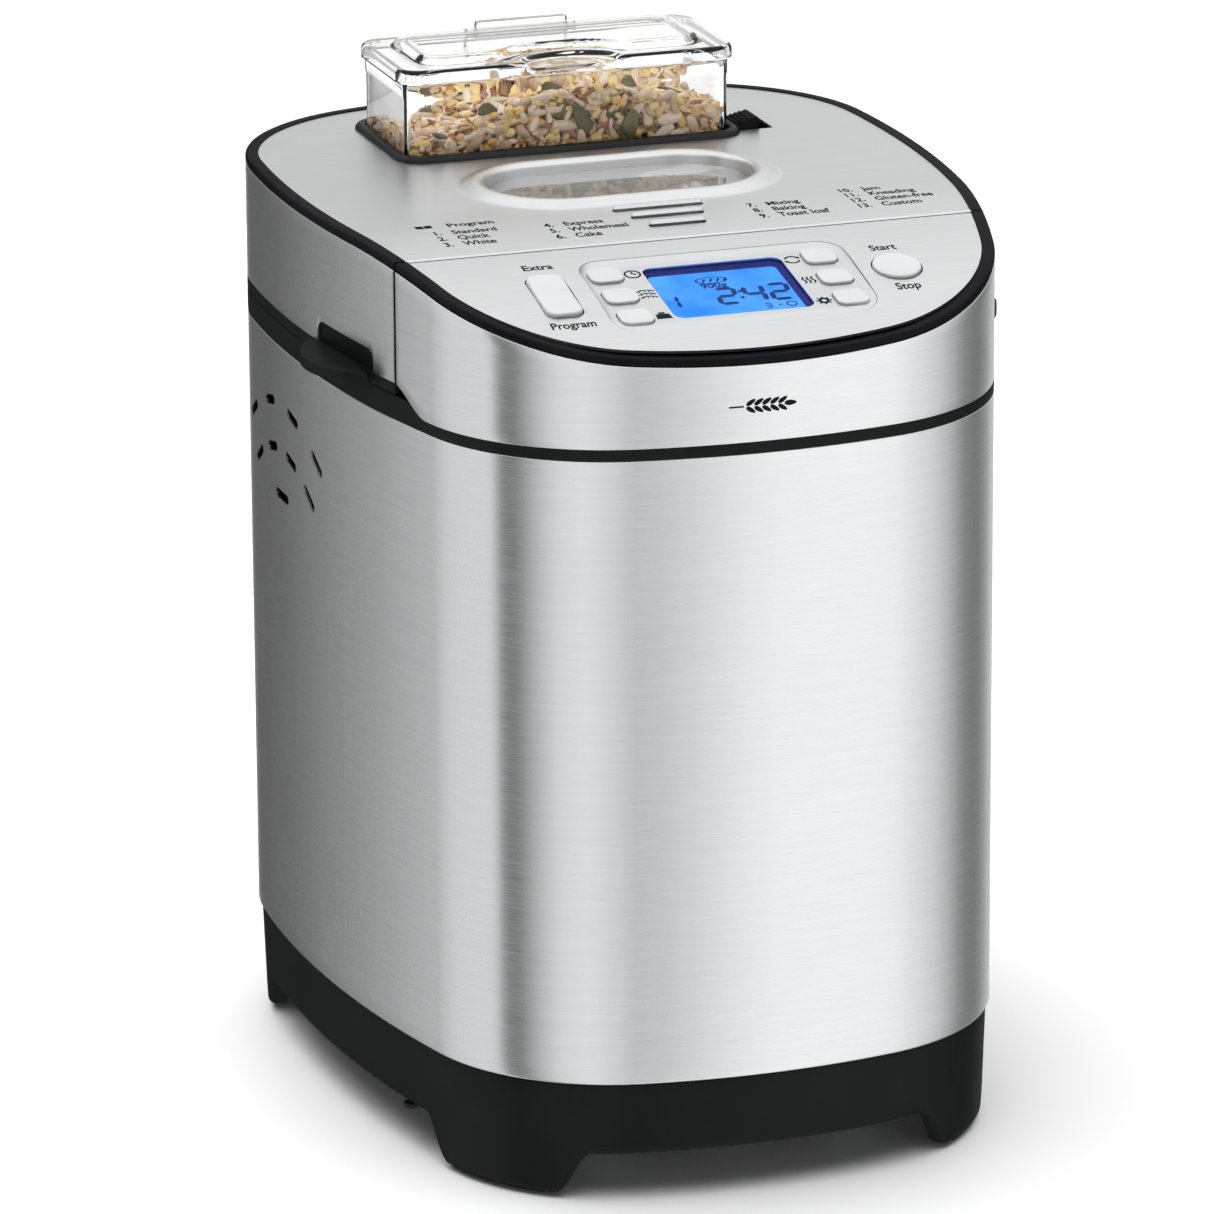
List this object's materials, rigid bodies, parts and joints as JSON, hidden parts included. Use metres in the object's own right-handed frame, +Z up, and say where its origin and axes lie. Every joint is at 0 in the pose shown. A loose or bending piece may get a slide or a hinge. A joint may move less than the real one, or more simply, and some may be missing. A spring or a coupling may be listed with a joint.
{
  "type": "bread machine",
  "caption": "Upright bread machine with a brushed steel wrapper, black base and rims, sloped control panel, hinged windowed lid and a clear ingredient dispenser.",
  "frame": {"origin": "on the floor, below the middle of the object's outline box in plan", "axes": "+X to the right seen from the front, +Y to the back, +Z up"},
  "size_m": [0.259, 0.3052, 0.366],
  "materials": {
    "black_plastic": "satin, fine moulded grain",
    "rim_plastic": "semi gloss",
    "foot_rubber": "matte",
    "seal_rubber": "matte",
    "belt_rubber": "matte, ribbed",
    "brushed_steel": "brushed along the wrap",
    "top_steel": "brushed side to side",
    "sheet_steel": "plain zinc plated",
    "chamber_metal": "dull",
    "element_metal": "oxidised sheath",
    "ceramic": "unglazed ceramic",
    "turned_steel": "turned",
    "cast_metal": "die cast",
    "fuse_metal": "plain",
    "pan_coating": "non stick coating",
    "bail_steel": "drawn wire",
    "pulley_plastic": "natural nylon",
    "board_green": "solder mask",
    "bezel_grey": "fine silver paint",
    "display_clear": "clear cover",
    "display_blue": "back lit",
    "key_white": "soft satin",
    "window_glass": "clear",
    "clear_plastic": "clear polished",
    "flap_plastic": "satin",
    "solenoid_coil": "lacquered winding",
    "seed_mix": "mixed dry seeds"
  },
  "bodies": {
    "body": {"base_frame": "black_plastic", "rubber_feet": "foot_rubber", "bottom_plate": "sheet_steel", "body_shell": "brushed_steel", "body_collar": "black_plastic", "cord_inlet": "black_plastic", "baking_chamber": "chamber_metal", "chamber_legs": "sheet_steel", "heating_element": "element_metal", "element_mounts": "ceramic", "pan_clips": "sheet_steel", "temperature_sensor": "cast_metal", "thermal_fuse": "fuse_metal", "drive_bearing": "cast_metal", "drive_belt": "belt_rubber", "motor_can": "cast_metal", "motor_bracket": "sheet_steel", "power_board": "board_green", "control_housing": "black_plastic", "control_band": "brushed_steel", "control_rim": "rim_plastic", "control_plate": "top_steel", "control_bezel": "bezel_grey", "lcd_window": "display_clear", "lcd_module": "display_blue", "control_board": "board_green", "hinge_pins": "turned_steel"},
    "lid": {"lid_frame": "black_plastic", "lid_band": "brushed_steel", "lid_rim": "rim_plastic", "lid_plate": "top_steel", "lid_liner": "chamber_metal", "window_glass": "window_glass", "dispenser_gasket": "seal_rubber", "dispenser_box": "clear_plastic", "release_solenoid": "solenoid_coil", "seeds": "seed_mix"},
    "dispenser_cover": {"dispenser_lid": "clear_plastic"},
    "flap": {"dispenser_flap": "flap_plastic"},
    "catch": {"dispenser_catch": "black_plastic"},
    "plunger": {"solenoid_plunger": "turned_steel"},
    "key_timer": {"button_timer": "key_white"},
    "key_loaf": {"button_loaf": "key_white"},
    "key_weight": {"button_weight": "key_white"},
    "key_select": {"button_select": "key_white"},
    "key_crust": {"button_crust": "key_white"},
    "key_settings": {"button_settings": "key_white"},
    "key_start": {"start_button": "key_white"},
    "rocker": {"program_rocker": "key_white"},
    "pan": {"bread_pan": "pan_coating", "pan_foot": "pan_coating", "pan_bearing": "cast_metal"},
    "bail": {"pan_bail": "bail_steel"},
    "paddle": {"pan_shaft": "turned_steel", "kneading_paddle": "pan_coating"},
    "drive": {"drive_coupling": "cast_metal", "drive_shaft": "turned_steel", "large_pulley": "pulley_plastic"},
    "rotor": {"motor_shaft": "turned_steel", "small_pulley": "pulley_plastic"}
  },
  "joints": [
    {"name": "lid_hinge", "type": "hinge", "parent": "body", "child": "lid", "pos_m": [0, 0.144, 0.283], "axis": [-1, 0, 0], "range_deg": [0, 80]},
    {"name": "dispenser_cover_hinge", "type": "hinge", "parent": "lid", "child": "dispenser_cover", "pos_m": [0, 0.1214, 0.3594], "axis": [-1, 0, 0], "range_deg": [0, 100]},
    {"name": "flap_hinge", "type": "hinge", "parent": "lid", "child": "flap", "pos_m": [0, 0.1, 0.281], "axis": [1, 0, 0], "range_deg": [0, 60], "stiffness_Nm_per_rad": 0.6, "springref_deg": -28.65},
    {"name": "catch_slide", "type": "slide", "parent": "lid", "child": "catch", "axis": [1, 0, 0], "range_m": [0, 0.004], "stiffness_N_per_m": 300, "springref_m": -0.001},
    {"name": "plunger_slide", "type": "slide", "parent": "lid", "child": "plunger", "axis": [1, 0, 0], "range_m": [0, 0.004], "stiffness_N_per_m": 300, "springref_m": -0.001},
    {"name": "key_timer_press", "type": "slide", "parent": "body", "child": "key_timer", "axis": [0, 0.1941, -0.981], "range_m": [0, 0.0008], "stiffness_N_per_m": 600},
    {"name": "key_loaf_press", "type": "slide", "parent": "body", "child": "key_loaf", "axis": [0, 0.1941, -0.981], "range_m": [0, 0.0008], "stiffness_N_per_m": 600},
    {"name": "key_weight_press", "type": "slide", "parent": "body", "child": "key_weight", "axis": [0, 0.1941, -0.981], "range_m": [0, 0.0008], "stiffness_N_per_m": 600},
    {"name": "key_select_press", "type": "slide", "parent": "body", "child": "key_select", "axis": [0, 0.1941, -0.981], "range_m": [0, 0.0008], "stiffness_N_per_m": 600},
    {"name": "key_crust_press", "type": "slide", "parent": "body", "child": "key_crust", "axis": [0, 0.1941, -0.981], "range_m": [0, 0.0008], "stiffness_N_per_m": 600},
    {"name": "key_settings_press", "type": "slide", "parent": "body", "child": "key_settings", "axis": [0, 0.1941, -0.981], "range_m": [0, 0.0008], "stiffness_N_per_m": 600},
    {"name": "start_press", "type": "slide", "parent": "body", "child": "key_start", "axis": [0, 0.2412, -0.9705], "range_m": [0, 0.001], "stiffness_N_per_m": 600},
    {"name": "rocker_tilt", "type": "hinge", "parent": "body", "child": "rocker", "pos_m": [-0.063, -0.10595, 0.31724], "axis": [1, 0, 0], "range_deg": [-3, 3], "stiffness_Nm_per_rad": 0.5},
    {"name": "pan_lift", "type": "slide", "parent": "body", "child": "pan", "axis": [0, 0, 1], "range_m": [0, 0.008]},
    {"name": "bail_swing", "type": "hinge", "parent": "pan", "child": "bail", "pos_m": [0, 0.03, 0.224], "axis": [-1, 0, 0], "range_deg": [0, 16]},
    {"name": "motor_spin", "type": "hinge", "parent": "body", "child": "rotor", "pos_m": [0, -0.104, 0.06], "axis": [0, 0, 1], "continuous": true},
    {"name": "drive_spin", "type": "hinge", "parent": "body", "child": "drive", "pos_m": [0, 0.03, 0.06], "axis": [0, 0, 1], "continuous": true},
    {"name": "paddle_spin", "type": "hinge", "parent": "pan", "child": "paddle", "pos_m": [0, 0.03, 0.1], "axis": [0, 0, 1], "continuous": true}
  ],
  "couplings": [
    {"joint": "drive_spin", "follows": "motor_spin", "ratio": 0.14286},
    {"joint": "paddle_spin", "follows": "motor_spin", "ratio": 0.14286}
  ]
}
